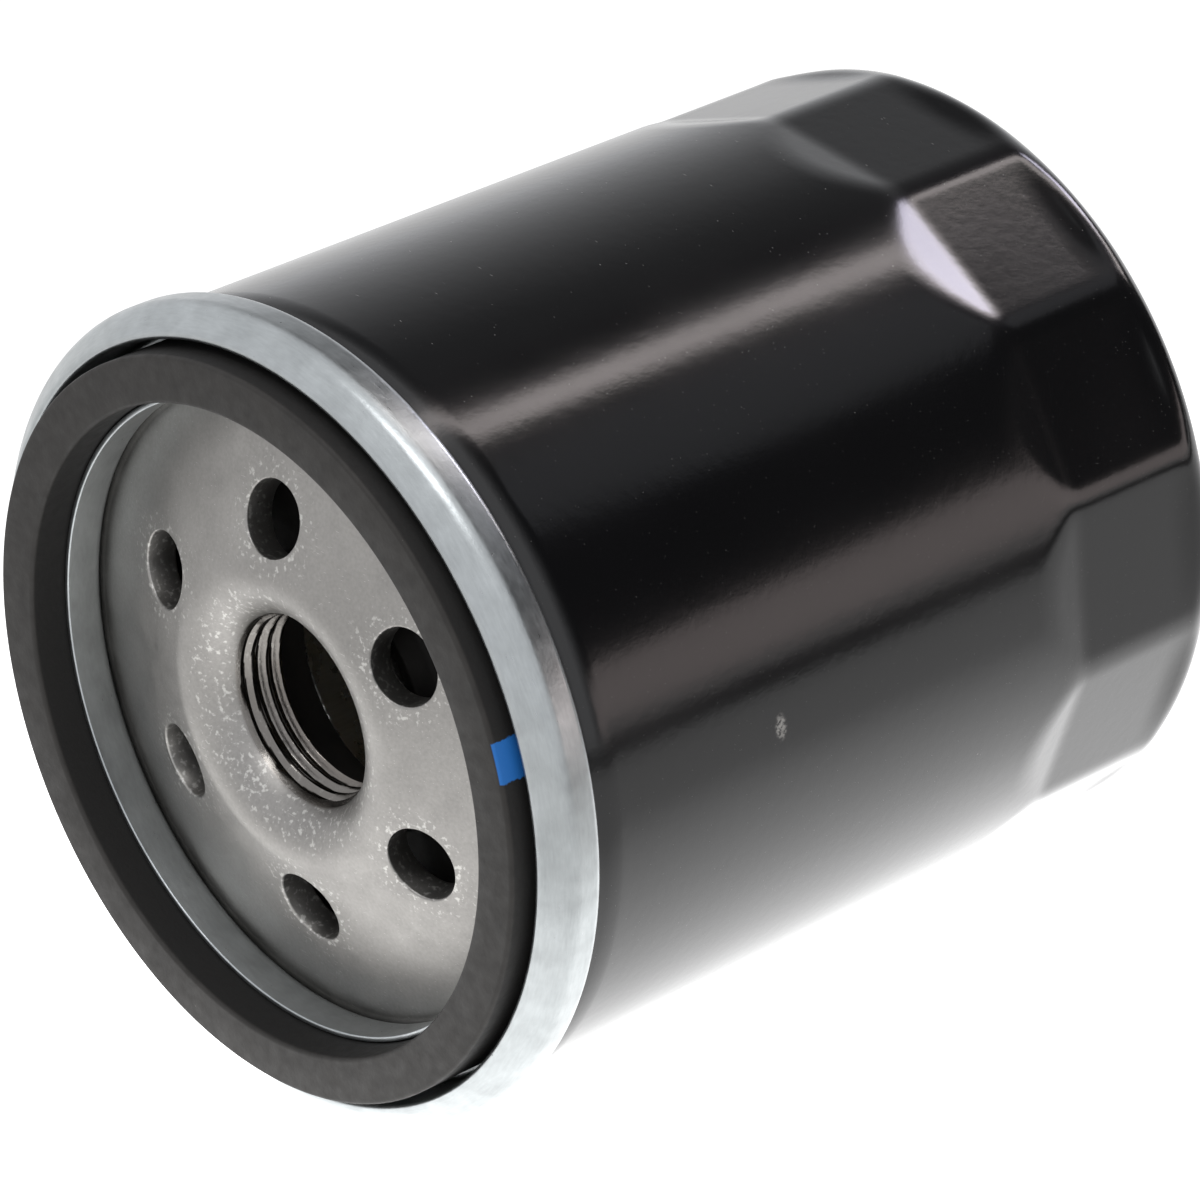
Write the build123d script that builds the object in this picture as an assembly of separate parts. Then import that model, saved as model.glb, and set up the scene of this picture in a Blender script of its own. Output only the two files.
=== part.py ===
from build123d import *
import math
import os

# Spin-on oil filter, lying on its side. Millimetres.
# The thread's axis is Y. The open end, which meets the engine, faces -Y and the closed
# end faces +Y. The origin is on the axis at the mouth of the threaded neck.
# Every profile is drawn in the XY plane, where X is the radius, and turned about Y.

# ---- can: deep-drawn sheet steel ----
can_radius = 38.1
can_wall = 0.55
can_end_y = 82.0
shoulder_y = 73.4
shoulder_radius = 4.6
crown_radius = 100.0
crown_flat_radius = 17.0
neck_in_y = (-1.2, 1.0)
flare_radius = 2.0
flat_count = 14
flat_start_y = 55.5
flat_full_y = 59.4
corner_angle = 45.5
flat_cut_width = 24.0
flat_cut_reach = 3.0
flat_runout = 0.2
split_y = 20.0

# ---- double seam, where the lid's sheet is rolled over the can's edge ----
lid_sheet = 0.55
seam_gap = 0.08
seam_outer_radius = 39.32
seam_back_y = -1.6
seam_front_y = -7.76
seam_slope = 43.0
seam_bend = 0.7
seam_round = 2.0
hook_length = 2.7
layer = lid_sheet + seam_gap
fold_front_y = -5.1
fold_bend = 1.5 * lid_sheet + seam_gap - 0.03
compound_width = 0.75

# ---- gasket and the groove that holds it ----
gasket_outer_radius = 35.5
gasket_inner_radius = 31.0
gasket_face_y = -8.85
gasket_edge = 0.4
groove_inner_radius = 30.9
flange_edge_y = -5.06
groove_floor_y = -1.35
groove_bend = 0.6

# ---- base plate: thick pressed steel with an inward threaded neck ----
plate_thickness = 3.0
plate_radius = 36.9
plate_slope = 14.75
thread_minor_radius = 8.65
neck_end_y = 2.6
mouth_radius = 5.0
inlet_count = 6
inlet_radius = 3.63
inlet_circle_radius = 19.29
inlet_first_angle = 35.9
plate_bend = 1.5

# ---- anti-drain-back valve: a rubber diaphragm on the neck ----
collar_clearance = 0.15
collar_thickness = 2.0
collar_foot_thickness = 1.2
collar_y = (1.0, 8.0)
lip_radius = 27.2
lip_width = 1.2
lip_clearance = 0.1
diaphragm_root_y = 3.4
diaphragm_root_thickness = 1.56
diaphragm_thickness = 1.2
lip_tip_thickness = 0.96

# ---- filter element ----
cap_sheet = 0.4
front_cap_y = 8.05
rear_cap_y = 63.85
cap_rim_radius = 33.9
cap_rim_depth = 2.9
cap_bend = 0.5
front_cap_hole_radius = 12.6
front_cap_collar = 3.9
rear_cap_hole_radius = 10.5
rear_cap_collar = 4.3
paste_thickness = 1.4
piece_gap = 0.05
tube_outer_radius = 13.6
tube_wall = 0.4
tube_hole_radius = 1.6
tube_holes_around = 10
tube_hole_rows = 9
paper_outer_radius = 33.3
paper_inner_radius = 14.2
paper_thickness = 0.5
pleat_count = 48
pleat_tip_half_width = 0.9
pleat_root_half_width = 0.15
clip_sheet = 0.25
clip_depth = 2.6
clip_inset = 1.5
tube_margin = 8.0

# ---- bypass valve in the rear end cap ----
seat_sheet = 0.8
seat_flange_bend = 0.05
seat_cup_bend = 1.0
seat_cup_radius = 10.4
seat_flange_radius = 12.0
seat_face_y = 59.6
seat_port_radius = 5.5
cage_radius = 9.1
cage_sheet = 0.5
cage_bend = 1.2
cage_end_y = 45.0
cage_windows = 4
cage_window_width = 8.0
cage_window_y = (48.0, 56.0)
guide_clearance = 0.06
pin_radius = 2.0
pin_head_radius = 3.4
pin_head_thickness = 0.9
pin_end_y = 43.5
pin_chamfer = 0.4
disc_radius = 7.2
disc_thickness = 1.0
seal_radius = 7.5
seal_thickness = 1.5
bypass_spring_radius = 4.2
bypass_wire_radius = 0.5
bypass_turns = 5.0

# ---- spring that presses the element forward ----
support_spring_radius = 14.6
support_wire_radius = 0.9
support_turns = 3.5

AXIS = Axis.Y


def turned(*points):
    """A ring whose section is a plain polygon."""
    return revolve(make_face(Polyline(*points, close=True)), AXIS)


def turned_sheet(points, bends, thickness, side):
    """A turned sheet: one face follows the points, with a bend at each inner point."""
    line = FilletPolyline(*points, radius=bends)
    section = make_face(offset(line, amount=thickness, side=side))
    return revolve(section, AXIS)


def coil(radius, wire_radius, start_y, end_y, turns):
    """A helical spring about the Y axis."""
    height = end_y - start_y
    path = Helix(
        pitch=height / turns,
        height=height,
        radius=radius,
        center=(0, start_y, 0),
        direction=(0, 1, 0),
    )
    section = Plane(origin=path @ 0, z_dir=path % 0) * Circle(wire_radius)
    return sweep(section, path=path, is_frenet=True)


def around(shape, count, first_angle=0.0):
    """Copies of a shape, evenly spaced about the Y axis."""
    step = 360.0 / count
    return [shape.rotate(AXIS, first_angle + step * i) for i in range(count)]


def plate_front_y(radius):
    """The base plate's front face on its conical part."""
    rise = math.tan(math.radians(plate_slope))
    corner_y = -mouth_radius / math.tan(math.radians(90 - plate_slope) / 2)
    return corner_y + (radius - thread_minor_radius) * rise


def plate_back_y(radius):
    """The base plate's back face on its conical part."""
    return plate_front_y(radius) + plate_thickness / math.cos(math.radians(plate_slope))


def can_form(inset):
    """The can's closed end as a solid, with every face moved inwards by the inset."""
    radius = can_radius - inset
    end_y = can_end_y - inset
    shoulder_corner_y = shoulder_y + shoulder_radius - inset
    wall_line = FilletPolyline(
        (radius, split_y),
        (radius, shoulder_corner_y),
        (crown_flat_radius, end_y),
        (0, end_y),
        radius=[shoulder_radius - inset, crown_radius],
    )
    closing_line = Polyline((0, end_y), (0, split_y), (radius, split_y))
    form = revolve(make_face(wall_line + closing_line), AXIS)
    half_step = math.pi / flat_count
    flat_distance = can_radius * math.cos(half_step) - inset
    reach = flat_cut_reach
    ramp = (flat_full_y - flat_start_y) / (can_radius - inset - flat_distance)
    profile = Polyline(
        (flat_distance, flat_full_y),
        (flat_distance, shoulder_y),
        (flat_distance + (can_end_y - shoulder_y) * flat_runout, can_end_y),
        (radius + reach, can_end_y),
        (radius + reach, flat_start_y - reach * ramp),
        close=True,
    )
    cutter = extrude(make_face(profile), amount=flat_cut_width / 2, both=True)
    first = -(corner_angle + math.degrees(half_step))
    return form - around(cutter, flat_count, first)


def can():
    """Can wall with wrench flats, a shallow crown and an edge folded into the seam."""
    hook_face = seam_outer_radius - layer
    wall_face = groove_outer_radius() + layer
    inner_radius = can_radius - can_wall
    mouth = turned_sheet(
        [
            (hook_face, fold_front_y + hook_length),
            (hook_face, fold_front_y),
            (wall_face, fold_front_y),
            (wall_face, neck_in_y[0]),
            (inner_radius, neck_in_y[1]),
            (inner_radius, split_y),
        ],
        [fold_bend, fold_bend, flare_radius, flare_radius],
        can_wall,
        Side.RIGHT,
    )
    return mouth + (can_form(0) - can_form(can_wall))


def seaming_lid():
    """Zinc-plated lid: gasket groove inside, rolled over the can's edge outside."""
    inner_wall = groove_outer_radius()
    rise = math.tan(math.radians(seam_slope))
    outer_corner_y = seam_front_y + (seam_outer_radius - inner_wall) * rise
    hook_radius = seam_outer_radius - 2 * layer - lid_sheet
    return turned_sheet(
        [
            (groove_inner_radius, flange_edge_y),
            (groove_inner_radius, groove_floor_y),
            (inner_wall, groove_floor_y),
            (inner_wall, seam_front_y),
            (seam_outer_radius, outer_corner_y),
            (seam_outer_radius, seam_back_y),
            (hook_radius, seam_back_y),
            (hook_radius, seam_back_y - hook_length),
        ],
        [groove_bend, groove_bend, seam_bend, seam_round, fold_bend, fold_bend],
        lid_sheet,
        Side.LEFT,
    )


def groove_outer_radius():
    """The seam is five sheets thick, and its innermost face is the groove's wall."""
    return seam_outer_radius - 4 * layer - lid_sheet


def seam_compound():
    """Sealing compound in the pocket between the lid's roll and the can's fold."""
    inner = groove_outer_radius() + lid_sheet + piece_gap
    outer = inner + compound_width
    slope = math.radians(seam_slope)
    lid_bend_y = seam_front_y + seam_bend * math.tan((math.pi / 2 + slope) / 2)
    lid_corner_y = seam_front_y + lid_sheet / math.cos(slope) + 2 * piece_gap
    lid_y = lid_corner_y + (outer - groove_outer_radius()) * math.tan(slope)
    fold_width = 3 * lid_sheet + 2 * seam_gap
    fold_middle = groove_outer_radius() + layer + fold_width / 2
    fold_middle_y = fold_front_y + fold_width / 2
    pocket = Polyline(
        (inner, lid_bend_y),
        (inner + 2 * piece_gap, lid_bend_y),
        (outer, lid_y),
        (outer, fold_middle_y),
        (inner, fold_middle_y),
        close=True,
    )
    fold = Pos(fold_middle, fold_middle_y) * Circle(fold_width / 2 + piece_gap)
    return revolve(make_face(pocket) - fold, AXIS)


def gasket():
    """Square-section rubber ring that stands proud of the seam."""
    back_y = groove_floor_y - piece_gap
    section = make_face(
        Polyline(
            (gasket_inner_radius, gasket_face_y),
            (gasket_outer_radius, gasket_face_y),
            (gasket_outer_radius, back_y),
            (gasket_inner_radius, back_y),
            close=True,
        )
    )
    section = fillet(section.vertices(), gasket_edge)
    return revolve(section, AXIS)


def base_plate():
    """Pressed plate with a raised middle, six oil inlets and an inward neck."""
    rim_y = groove_floor_y + lid_sheet
    cone_end = inlet_circle_radius
    cone_end += (rim_y - plate_front_y(inlet_circle_radius)) / math.tan(math.radians(plate_slope))
    plate = turned_sheet(
        [
            (thread_minor_radius, neck_end_y),
            (thread_minor_radius, plate_front_y(thread_minor_radius)),
            (cone_end, rim_y),
            (plate_radius, rim_y),
        ],
        [mouth_radius, plate_bend],
        plate_thickness,
        Side.LEFT,
    )
    start = (inlet_circle_radius, plate_front_y(inlet_circle_radius), 0)
    tilt = math.radians(plate_slope)
    drill_plane = Plane(origin=start, z_dir=(math.sin(tilt), -math.cos(tilt), 0))
    drill = drill_plane * Cylinder(inlet_radius, 4 * plate_thickness)
    return plate - around(drill, inlet_count, -inlet_first_angle)


def anti_drain_back_valve():
    """Rubber diaphragm: its collar grips the neck and its lip rests behind the inlets."""
    inner = thread_minor_radius + plate_thickness + collar_clearance
    outer = inner + collar_thickness
    lip_inner = lip_radius - lip_width
    lip_y = plate_back_y(lip_inner) + lip_clearance
    tip_y = plate_back_y(lip_radius) + lip_clearance
    return turned(
        (inner, collar_y[0]),
        (inner + collar_foot_thickness, collar_y[0]),
        (outer, diaphragm_root_y),
        (lip_inner, lip_y),
        (lip_radius, tip_y),
        (lip_radius, tip_y + lip_tip_thickness),
        (lip_inner, lip_y + diaphragm_thickness),
        (outer, diaphragm_root_y + diaphragm_root_thickness),
        (outer, collar_y[1]),
        (inner, collar_y[1]),
    )


def front_end_cap():
    """Sheet pan on the element's front end, open to the neck."""
    return turned_sheet(
        [
            (front_cap_hole_radius, front_cap_y + front_cap_collar),
            (front_cap_hole_radius, front_cap_y),
            (cap_rim_radius, front_cap_y),
            (cap_rim_radius, front_cap_y + cap_rim_depth),
        ],
        [cap_bend, cap_bend],
        cap_sheet,
        Side.LEFT,
    )


def rear_end_cap():
    """Sheet pan on the element's rear end, with a collar for the bypass valve."""
    return turned_sheet(
        [
            (rear_cap_hole_radius, rear_cap_y - rear_cap_collar),
            (rear_cap_hole_radius, rear_cap_y),
            (cap_rim_radius, rear_cap_y),
            (cap_rim_radius, rear_cap_y - cap_rim_depth),
        ],
        [cap_bend, cap_bend],
        cap_sheet,
        Side.RIGHT,
    )


def paste_ring(start_y):
    """Cured adhesive between an end cap and the pleats."""
    inner = tube_outer_radius + piece_gap
    outer = cap_rim_radius - cap_sheet - cap_bend
    end_y = start_y + paste_thickness
    return turned((inner, start_y), (outer, start_y), (outer, end_y), (inner, end_y))


def paper_span():
    """The pleats' two ends along the axis."""
    start = front_cap_y + cap_sheet + paste_thickness + 2 * piece_gap
    end = rear_cap_y - cap_sheet - paste_thickness - 2 * piece_gap
    return start, end


def pleat_outline(tip_radius, root_radius, tip_half, root_half):
    """A closed star whose tips and roots have the given half widths."""
    step = 2 * math.pi / pleat_count
    corners = []
    for i in range(pleat_count):
        middle = step * i
        tip = tip_half / tip_radius
        root = step / 2 - root_half / root_radius
        for radius, angle in (
            (root_radius, middle - root),
            (tip_radius, middle - tip),
            (tip_radius, middle + tip),
            (root_radius, middle + root),
        ):
            corners.append((radius * math.cos(angle), radius * math.sin(angle)))
    return make_face(Polyline(*corners, close=True))


def pleated_paper():
    """One strip of filter paper folded into a closed ring of pleats."""
    start, end = paper_span()
    outer = pleat_outline(
        paper_outer_radius, paper_inner_radius, pleat_tip_half_width, pleat_root_half_width
    )
    inner = pleat_outline(
        paper_outer_radius - paper_thickness,
        paper_inner_radius - paper_thickness,
        pleat_tip_half_width - paper_thickness,
        pleat_root_half_width + paper_thickness,
    )
    section = Plane(origin=(0, start, 0), x_dir=(1, 0, 0), z_dir=(0, 1, 0)) * (outer - inner)
    return extrude(section, amount=end - start)


def pleat_seam_clip():
    """Folded steel strip that joins the two ends of the paper over one pleat."""
    start, end = paper_span()
    inner = pleat_tip_half_width + 2 * piece_gap
    outer = inner + clip_sheet
    top = paper_outer_radius + 2 * piece_gap
    bottom = paper_outer_radius - clip_depth
    section = make_face(
        Polyline(
            (bottom, inner),
            (top, inner),
            (top, -inner),
            (bottom, -inner),
            (bottom, -outer),
            (top + clip_sheet, -outer),
            (top + clip_sheet, outer),
            (bottom, outer),
            close=True,
        )
    )
    plane = Plane(origin=(0, start + clip_inset, 0), x_dir=(1, 0, 0), z_dir=(0, 1, 0))
    return extrude(plane * section, amount=end - start - 2 * clip_inset)


def centre_tube():
    """Perforated steel tube that keeps the pleats from collapsing."""
    start = front_cap_y + cap_sheet + piece_gap
    end = rear_cap_y - cap_sheet - piece_gap
    inner = tube_outer_radius - tube_wall
    tube = turned(
        (inner, start), (tube_outer_radius, start), (tube_outer_radius, end), (inner, end)
    )
    spacing = (end - start - 2 * tube_margin) / (tube_hole_rows - 1)
    step = 360.0 / tube_holes_around
    drills = []
    for row in range(tube_hole_rows):
        middle = (0, start + tube_margin + spacing * row, 0)
        stagger = step / 2 * (row % 2)
        for k in range(tube_holes_around // 2):
            angle = math.radians(stagger + step * k)
            plane = Plane(origin=middle, z_dir=(math.cos(angle), 0, math.sin(angle)))
            drills.append(plane * Cylinder(tube_hole_radius, 4 * tube_outer_radius))
    return tube - drills


def bypass_seat():
    """Stamped cup in the rear cap's collar; its inner face is the valve seat."""
    top_y = rear_cap_y + piece_gap
    return turned_sheet(
        [
            (seat_flange_radius, top_y),
            (seat_cup_radius, top_y),
            (seat_cup_radius, seat_face_y),
            (seat_port_radius, seat_face_y),
        ],
        [seat_flange_bend, seat_cup_bend],
        seat_sheet,
        Side.RIGHT,
    )


def bypass_cage():
    """Windowed cup that holds the spring and guides the pin."""
    top_y = seat_face_y - piece_gap
    hole = pin_radius + guide_clearance
    cup = turned_sheet(
        [(cage_radius, top_y), (cage_radius, cage_end_y), (hole, cage_end_y)],
        [cage_bend],
        cage_sheet,
        Side.RIGHT,
    )
    low, high = cage_window_y
    slot = Pos(cage_radius, (low + high) / 2, 0) * Box(cage_radius, high - low, cage_window_width)
    return cup - around(slot, cage_windows)


def bypass_levels():
    """Where the moving stack's faces lie, from the seat towards the spring."""
    seal_top = seat_face_y - piece_gap
    disc_top = seal_top - seal_thickness
    return seal_top, disc_top, disc_top - disc_thickness


def bypass_seal():
    """Rubber washer that closes the port."""
    seal_top, disc_top, _ = bypass_levels()
    inner = pin_radius + piece_gap
    return turned(
        (inner, disc_top + piece_gap),
        (seal_radius, disc_top + piece_gap),
        (seal_radius, seal_top),
        (inner, seal_top),
    )


def bypass_disc():
    """Steel disc that backs the rubber washer and takes the spring."""
    _, disc_top, disc_back = bypass_levels()
    inner = pin_radius + piece_gap
    return turned(
        (inner, disc_back), (disc_radius, disc_back), (disc_radius, disc_top), (inner, disc_top)
    )


def bypass_pin():
    """Headed pin that clamps the washer to the disc and slides in the cage."""
    seal_top, _, _ = bypass_levels()
    head_y = seal_top + piece_gap
    return turned(
        (0, pin_end_y),
        (pin_radius - pin_chamfer, pin_end_y),
        (pin_radius, pin_end_y + pin_chamfer),
        (pin_radius, head_y),
        (pin_head_radius, head_y),
        (pin_head_radius - pin_chamfer, head_y + pin_head_thickness),
        (0, head_y + pin_head_thickness),
    )


def bypass_spring():
    """Coil spring between the cage's floor and the disc."""
    _, _, disc_back = bypass_levels()
    room = bypass_wire_radius + 3 * piece_gap
    start = cage_end_y + cage_sheet + room
    return coil(bypass_spring_radius, bypass_wire_radius, start, disc_back - room, bypass_turns)


def element_spring():
    """Coil spring between the rear end cap and the can's crown."""
    room = support_wire_radius + 4 * piece_gap
    start = rear_cap_y + room
    crown_drop = (support_spring_radius + support_wire_radius) ** 2 / (2 * crown_radius)
    end = can_end_y - can_wall - crown_drop - room
    return coil(support_spring_radius, support_wire_radius, start, end, support_turns)


_, paper_end = paper_span()
nodes = {
    "can": can(),
    "seaming_lid": seaming_lid(),
    "seam_compound": seam_compound(),
    "base_plate": base_plate(),
    "gasket": gasket(),
    "anti_drain_back_valve": anti_drain_back_valve(),
    "front_end_cap": front_end_cap(),
    "front_adhesive": paste_ring(front_cap_y + cap_sheet + piece_gap),
    "pleated_paper": pleated_paper(),
    "pleat_seam_clip": pleat_seam_clip(),
    "centre_tube": centre_tube(),
    "rear_adhesive": paste_ring(paper_end + piece_gap),
    "rear_end_cap": rear_end_cap(),
    "bypass_seat": bypass_seat(),
    "bypass_cage": bypass_cage(),
    "bypass_spring": bypass_spring(),
    "bypass_disc": bypass_disc(),
    "bypass_seal": bypass_seal(),
    "bypass_pin": bypass_pin(),
    "element_spring": element_spring(),
}

os.makedirs("parts", exist_ok=True)
for name, shape in nodes.items():
    export_step(shape, f"parts/{name}.step")
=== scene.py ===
"""Looks for a spin-on oil filter that lies on its side, built around its packed CAD frame."""

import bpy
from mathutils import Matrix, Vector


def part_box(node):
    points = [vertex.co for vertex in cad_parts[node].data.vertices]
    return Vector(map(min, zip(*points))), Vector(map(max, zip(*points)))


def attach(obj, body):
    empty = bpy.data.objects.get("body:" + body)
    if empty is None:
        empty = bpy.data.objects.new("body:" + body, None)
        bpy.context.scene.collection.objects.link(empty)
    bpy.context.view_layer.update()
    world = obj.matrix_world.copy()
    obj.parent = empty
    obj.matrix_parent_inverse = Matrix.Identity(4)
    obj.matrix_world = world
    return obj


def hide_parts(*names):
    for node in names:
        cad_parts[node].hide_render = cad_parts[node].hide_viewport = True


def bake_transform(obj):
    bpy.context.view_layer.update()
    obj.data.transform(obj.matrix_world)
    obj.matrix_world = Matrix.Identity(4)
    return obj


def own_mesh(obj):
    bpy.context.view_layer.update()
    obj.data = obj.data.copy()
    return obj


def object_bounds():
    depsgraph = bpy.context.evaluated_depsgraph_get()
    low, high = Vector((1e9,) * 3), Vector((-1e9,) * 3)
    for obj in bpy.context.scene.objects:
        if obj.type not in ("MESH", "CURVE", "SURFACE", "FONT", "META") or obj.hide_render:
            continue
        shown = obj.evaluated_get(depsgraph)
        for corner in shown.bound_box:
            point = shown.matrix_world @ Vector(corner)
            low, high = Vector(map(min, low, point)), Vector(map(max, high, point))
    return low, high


bl_info = {
    "name": "Spin-on oil filter",
    "version": (1, 0, 0),
    "blender": (4, 5, 0),
    "location": "3D View > Sidebar > Oil filter",
    "description": "Builds the filter's visible pieces, their finishes and a plain studio",
    "category": "Object",
}

import math
from functools import partial
from types import SimpleNamespace

import bmesh
import bpy
from bpy.props import FloatProperty, FloatVectorProperty, IntProperty
from mathutils import Matrix, Vector

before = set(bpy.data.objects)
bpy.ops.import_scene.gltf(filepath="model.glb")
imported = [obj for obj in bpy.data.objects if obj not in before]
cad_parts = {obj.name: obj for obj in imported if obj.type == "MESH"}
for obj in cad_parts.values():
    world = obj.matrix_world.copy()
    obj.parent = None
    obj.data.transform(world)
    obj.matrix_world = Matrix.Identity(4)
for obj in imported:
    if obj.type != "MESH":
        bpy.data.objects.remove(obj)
CAD_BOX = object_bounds()

MM = 0.001
FULL_TURN = 2 * math.pi
AXIS = (0, 1, 0)
WELD = 0.0001
CREASE = math.radians(32)
SHARP = math.radians(60)
SCUFF_PLACE = (0.03775, 0.02098, 0.00517)


# ---- sizes and colours that a user would change ----


def linear(code):
    """A colour given as an sRGB hex code, as the linear colour that shaders take."""
    channels = [int(code[i : i + 2], 16) / 255 for i in (1, 3, 5)]
    low = [c / 12.92 if c <= 0.04045 else ((c + 0.055) / 1.055) ** 2.4 for c in channels]
    return (*low, 1.0)


def length(name, description, millimetres):
    """A length property, given in millimetres and kept in metres."""
    return FloatProperty(
        name=name, description=description, default=millimetres * MM, unit="LENGTH", precision=5
    )


def angle(name, description, degrees):
    """An angle property, given in degrees."""
    return FloatProperty(
        name=name, description=description, default=math.radians(degrees), unit="ROTATION"
    )


def count(name, description, number):
    """A whole number property."""
    return IntProperty(name=name, description=description, default=number, min=1)


def colour(name, description, code):
    """A colour property, given as an sRGB hex code."""
    return FloatVectorProperty(
        name=name, description=description, default=linear(code), subtype="COLOR", size=4
    )


class CanSizes(bpy.types.PropertyGroup):
    """The deep-drawn can."""

    radius: length("Can radius", "Outside radius of the can's wall", 38.1)
    wall: length("Wall", "Thickness of the sheet", 0.55)
    neck_radius: length("Neck radius", "Outside radius where the can enters the seam", 37.43)
    neck_start: length("Neck start", "Where the neck starts to widen, along the axis", -1.2)
    neck_end: length("Neck end", "Where the neck reaches the can's radius", 1.0)
    fold_radius: length("Fold radius", "Inner face of the edge that is folded back", 38.14)
    fold_front: length("Fold front", "Inner face of the fold's front, along the axis", -4.55)
    fold_end: length("Fold end", "Where the folded edge ends, along the axis", -2.4)
    shoulder: length("Shoulder", "Where the wall starts to turn into the crown", 73.4)
    shoulder_bend: length("Shoulder bend", "Radius of the shoulder", 4.6)
    end: length("Closed end", "Top of the crown, along the axis", 82.0)
    crown_flat: length("Crown flat", "Radius of the crown's flat middle", 17.0)
    crown_bend: length("Crown bend", "Radius where the cone meets the flat middle", 100.0)
    flat_start: length("Flats start", "Where a flat's middle starts to sink, along the axis", 54.9)
    flat_full: length("Flats full", "Where the flats reach their depth, along the axis", 60.0)
    flat_runout: length("Flats run out", "How far up the shoulder the flats die out", 3.6)
    arris: length("Arris softness", "How much paint and drawing soften the arrises", 0.6)
    ramp_arris: length("Ramp softness", "How softly the flats run out into the wall", 0.34)
    flats: count("Flats", "Number of wrench flats", 14)
    first_arris: angle("First arris", "Angle of one arris about the axis", 45.5)
    steps: count("Steps", "Segments around the can", 420)


class SeamSizes(bpy.types.PropertyGroup):
    """The plated lid, which is rolled over the can's edge."""

    sheet: length("Sheet", "Thickness of the lid's sheet", 0.55)
    groove_inner: length("Groove, inner", "Radius of the groove's inner wall", 30.9)
    groove_outer: length("Groove, outer", "Radius of the groove's outer wall", 36.25)
    flange_edge: length("Flange edge", "Front edge of the inner flange, along the axis", -5.06)
    groove_floor: length("Groove floor", "Floor of the groove, along the axis", -1.35)
    front: length("Front", "Where the groove's wall meets the seam's slope", -7.76)
    slope_end: length("Slope end", "Where the slope meets the seam's outside", -4.897)
    outside: length("Outside", "Outside radius of the seam", 39.32)
    back: length("Back", "Back of the seam, along the axis", -1.6)
    hook: length("Hook", "Radius of the hook inside the seam", 37.51)
    hook_end: length("Hook end", "Where the hook ends, along the axis", -4.3)
    groove_bend: length("Groove bend", "Bends of the groove's floor", 0.6)
    front_bend: length("Front bend", "Bend where the groove's wall meets the slope", 0.7)
    round_bend: length("Outer bend", "Bend where the slope meets the seam's outside", 2.0)
    fold_bend: length("Fold bend", "Bends of the seam's back", 0.86)
    steps: count("Steps", "Segments around the seam", 216)


class GasketSizes(bpy.types.PropertyGroup):
    """The square-section rubber ring."""

    inner: length("Inner radius", "Inside radius of the ring", 31.0)
    outer: length("Outer radius", "Outside radius of the ring", 35.5)
    face: length("Face", "The sealing face, along the axis", -8.85)
    back: length("Back", "The ring's back, along the axis", -1.4)
    edge: length("Edge", "Rounding of the ring's edges", 0.4)
    mark_start: angle("Mark start", "Angle at which the paint mark starts", 15.2)
    mark_end: angle("Mark end", "Angle at which the paint mark ends", 21.4)
    steps: count("Steps", "Segments around the ring", 216)


class PlateSizes(bpy.types.PropertyGroup):
    """The thick pressed plate, with its oil inlets and its threaded neck."""

    thickness: length("Thickness", "Thickness of the plate", 3.0)
    radius: length("Radius", "Outside radius of the plate", 36.9)
    rim_front: length("Rim front", "Front of the flat rim, along the axis", -0.8)
    neck: length("Neck radius", "Inside radius of the neck at the thread's crests", 8.65)
    neck_end: length("Neck end", "Inner end of the neck, along the axis", 2.6)
    mouth: length("Mouth bend", "Radius of the rounded mouth", 5.0)
    bend: length("Rim bend", "Radius where the slope meets the rim", 1.5)
    ring: length("Inlet ring", "Radius of the circle that the inlets stand on", 19.29)
    inlet: length("Inlet radius", "Radius of each inlet", 3.63)
    inlet_edge: length("Inlet edge", "Rounding of each inlet's edge", 0.22)
    thread_root: length("Thread root", "Radius of the thread's root", 9.25)
    pitch: length("Pitch", "Pitch of the thread", 1.5875)
    slope: angle("Slope", "Slope of the plate's cone", 14.75)
    first_inlet: angle("First inlet", "Angle of one inlet about the axis", 35.9)
    inlets: count("Inlets", "Number of inlets", 6)


class InnerSizes(bpy.types.PropertyGroup):
    """The soft and springy pieces inside."""

    coil: length("Support coil", "Mean radius of the element's spring", 14.6)
    coil_wire: length("Support wire", "Radius of its wire", 0.9)
    valve_coil: length("Bypass coil", "Mean radius of the bypass valve's spring", 4.2)
    valve_wire: length("Bypass wire", "Radius of its wire", 0.5)
    coil_turns: count("Support turns", "Working turns of the element's spring", 2)
    valve_turns: count("Bypass turns", "Working turns of the bypass valve's spring", 4)
    coil_steps: count("Coil steps", "Segments in one turn of a spring", 40)


class FinishColours(bpy.types.PropertyGroup):
    """The colours that the finishes start from."""

    enamel: colour("Enamel", "Black stoving enamel", "#050506")
    zinc: colour("Zinc", "Blue-passivated zinc plate", "#A5A9AA")
    steel: colour("Bare steel", "Pickled steel sheet", "#8F8D8A")
    rubber: colour("Rubber", "Black nitrile rubber", "#211F1D")
    mark: colour("Mark", "Inspector's paint mark", "#175DA2")
    tinplate: colour("Tinplate", "Tin-coated sheet", "#C9CAC8")
    spring: colour("Spring steel", "Oil-tempered wire", "#6F6C68")
    paper: colour("Paper", "Resin-cured filter paper", "#D9B36C")
    plastisol: colour("Plastisol", "Cured adhesive", "#7E8C4A")
    compound: colour("Compound", "Seam compound", "#8E918C")
    floor: colour("Floor", "Studio floor", "#FFFFFF")


class StudioSettings(bpy.types.PropertyGroup):
    """The camera and the floor."""

    camera: FloatVectorProperty(
        name="Camera", description="Where the camera stands", subtype="TRANSLATION",
        unit="LENGTH", default=(0.39543, -0.32786, 0.28881)
    )
    azimuth: angle("Azimuth", "The camera's turn about the vertical", 47.5425)
    elevation: angle("Elevation", "The camera's angle above the floor", 28.4816)
    lens: FloatProperty(name="Lens", description="Focal length", default=195.95, unit="CAMERA")
    floor_radius: length("Floor radius", "Radius of the floor", 4000.0)


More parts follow.
